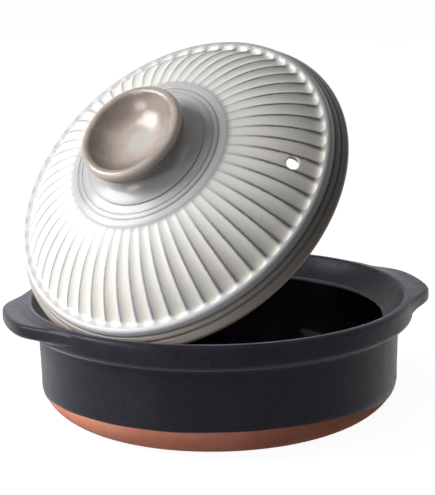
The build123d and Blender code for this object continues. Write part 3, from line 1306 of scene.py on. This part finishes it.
    def build(self, stand: LidStand, glaze: FlutedGlaze) -> None:
        """Builds and dresses the lid's shell.

        Args:
            stand: Where the lid stands.
            glaze: The lid's glaze.
        """
        outline = self.draw()
        piece = turned("LidDome", outline, self.flute_count * self.flute_steps)
        self.scoop(piece, outline)
        self.pierce(piece)
        piece.data.transform(stand.placing())
        hand_in(piece, "lid", "lid_dome", "white_glaze", glaze.mix(outline))


@dataclass
class LidKnob:
    """The knob: a thick dish with a rolled rim, seated on the neck."""

    neck_top: Point = (26.0, 59.5)
    lip: Point = (33.0, 62.7)
    lip_round: float = 1.5
    waist_groove: Point = (33.2, 65.9)
    roll_radius: float = 3.5
    roll_height: float = 69.0
    roll_reach: float = 34.5
    dish_floor: float = 59.9
    dish_fullness: float = 3.3
    under_gap: float = 0.2
    roll_turn: Range = (-38, 142)
    roll_points: int = 26
    dish_points: int = 28
    steps: int = 200

    def draw(self) -> Outline:
        """Returns the knob's half section, from its underside round the rim into the dish."""
        under = self.neck_top[1] - self.under_gap
        outline = Outline([(0.0, under)])
        outline.line((self.neck_top[0], under), spacing=9)
        outline.mark("neck")
        outline.line(self.neck_top, spacing=1)
        outline.turn_corner(self.lip, self.waist_groove, self.lip_round, steps=6)
        outline.line(self.waist_groove, spacing=1)
        outline.mark("lip")
        middle = self.roll_reach - self.roll_radius
        for angle in np.radians(np.linspace(*self.roll_turn, self.roll_points)):
            height = self.roll_height + self.roll_radius * math.sin(angle)
            outline.places.append((middle + self.roll_radius * math.cos(angle), height))
        outline.mark("dish_edge")
        edge_radius, edge_height = outline.places[-1]
        depth = edge_height - self.dish_floor
        for share in np.linspace(1, 0, self.dish_points)[1:]:
            height = self.dish_floor + depth * share**self.dish_fullness
            outline.places.append((edge_radius * share, height))
        outline.mark("dish_floor")
        return outline

    def build(self, stand: LidStand, glaze: TaupeGlaze) -> None:
        """Builds and dresses the knob.

        Args:
            stand: Where the lid stands.
            glaze: The knob's glaze.
        """
        outline = self.draw()
        piece = turned("LidKnob", outline, self.steps)
        points = read_points(piece)
        along = outline.lengths()[nearest_on(outline, points)]
        write_map(piece, "Outline", polar(points)[0], along)
        piece.data.transform(stand.placing())
        hand_in(piece, "lid", "lid_knob", "taupe_glaze", glaze.mix(outline))


@dataclass(frozen=True)
class Lamp:
    """A square lamp that faces the middle of the object."""

    name: str
    place: Place
    size: float
    power: float
    target: Place = (0.0, 0.0, 0.1)

    def set_up(self) -> None:
        """Adds the lamp."""
        clear_selection()
        place = Vector(self.place)
        bpy.ops.object.light_add(type="AREA", location=place)
        lamp = bpy.context.object
        lamp.name = self.name
        lamp.data.size = self.size
        lamp.data.energy = self.power
        lamp.rotation_euler = (Vector(self.target) - place).to_track_quat("-Z", "Y").to_euler()


@dataclass
class Studio:
    """A white table, a large lamp and a low weak one on the left, a weak one above, and the camera."""

    floor_size: float = 9.0
    floor_drop: float = 0.0002
    floor_colour: Colour = (0.22, 0.22, 0.22)
    floor_glow: float = 0.95
    world_fill: float = 0.13
    lamps: tuple[Lamp, ...] = (
        Lamp("KeyLamp", (-1.36, 0.18, 0.82), size=0.8, power=26.5),
        Lamp("LowLamp", (-1.4, -0.5, 0.14), size=0.5, power=7.0),
        Lamp("FrontLamp", (-0.2, -0.75, 1.35), size=0.6, power=1.2),
    )
    camera_place: Place = (-0.33525, -1.22711, 0.40534)
    camera_forward: Place = (0.25703, 0.93954, -0.22627)
    camera_right: Place = (0.96314, -0.26827, -0.01991)
    camera_lens: float = 145.45
    camera_near: float = 0.05

    def set_world(self) -> None:
        """Gives the world a plain fill light and shows it white behind the object."""
        world = bpy.data.worlds.new("Studio")
        bpy.context.scene.world = world
        recipe = Recipe(world)
        strength = recipe.spread(recipe.seen(), (0.0, 1.0), (self.world_fill, 1.0))
        sky = recipe.add("ShaderNodeBackground", {"Color": (1.0, 1.0, 1.0), "Strength": strength})
        recipe.add("ShaderNodeOutputWorld", {"Surface": sky.outputs["Background"]})

    def lay_floor(self) -> None:
        """Lays a white floor that keeps the object's shadow."""
        clear_selection()
        bpy.ops.mesh.primitive_plane_add(size=self.floor_size, location=(0, 0, -self.floor_drop))
        bpy.ops.object.transform_apply()
        floor = bpy.context.object
        floor.name = "Floor"
        recipe = Recipe(bpy.data.materials.new("Floor"))
        strength = recipe.spread(recipe.seen(), (0.0, 1.0), (0.0, self.floor_glow))
        paper = recipe.add("ShaderNodeBsdfDiffuse", {"Color": self.floor_colour})
        glow = recipe.add("ShaderNodeEmission", {"Strength": strength})
        both = recipe.add("ShaderNodeAddShader", {0: paper.outputs["BSDF"], 1: glow.outputs["Emission"]})
        recipe.add("ShaderNodeOutputMaterial", {"Surface": both.outputs["Shader"]})
        floor.data.materials.append(recipe.owner)

    def set_camera(self) -> None:
        """Stands the camera where the photograph was taken from."""
        forward = Vector(self.camera_forward).normalized()
        right = Vector(self.camera_right).normalized()
        up = right.cross(forward)
        bpy.ops.object.camera_add()
        camera = bpy.context.object
        camera.name = "Camera"
        turn = Matrix((right, up, -forward)).transposed().to_4x4()
        camera.matrix_world = Matrix.Translation(self.camera_place) @ turn
        camera.data.lens = self.camera_lens
        camera.data.clip_start = self.camera_near
        bpy.context.scene.camera = camera

    def set_up(self) -> None:
        """Sets up world, floor, lamps and camera."""
        bpy.context.scene.view_settings.view_transform = "Standard"
        self.set_world()
        self.lay_floor()
        for lamp in self.lamps:
            lamp.set_up()
        self.set_camera()
        log.info("studio ready")


def main() -> None:
    """Builds the pot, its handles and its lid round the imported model."""
    logging.basicConfig(level=logging.INFO, format="%(name)s: %(message)s")
    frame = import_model()
    satin = SATIN_BLACK.mix()
    pot = Pot()
    pot.build_body(satin, GLOSS_BLACK.mix())
    pot.build_base(BareClay().mix())
    Handles().build(satin)
    stand = LidStand(frame["joints"][0])
    LidDome().build(stand, FlutedGlaze())
    LidKnob().build(stand, TaupeGlaze())
    Studio().set_up()


if __name__ == "__main__":
    main()
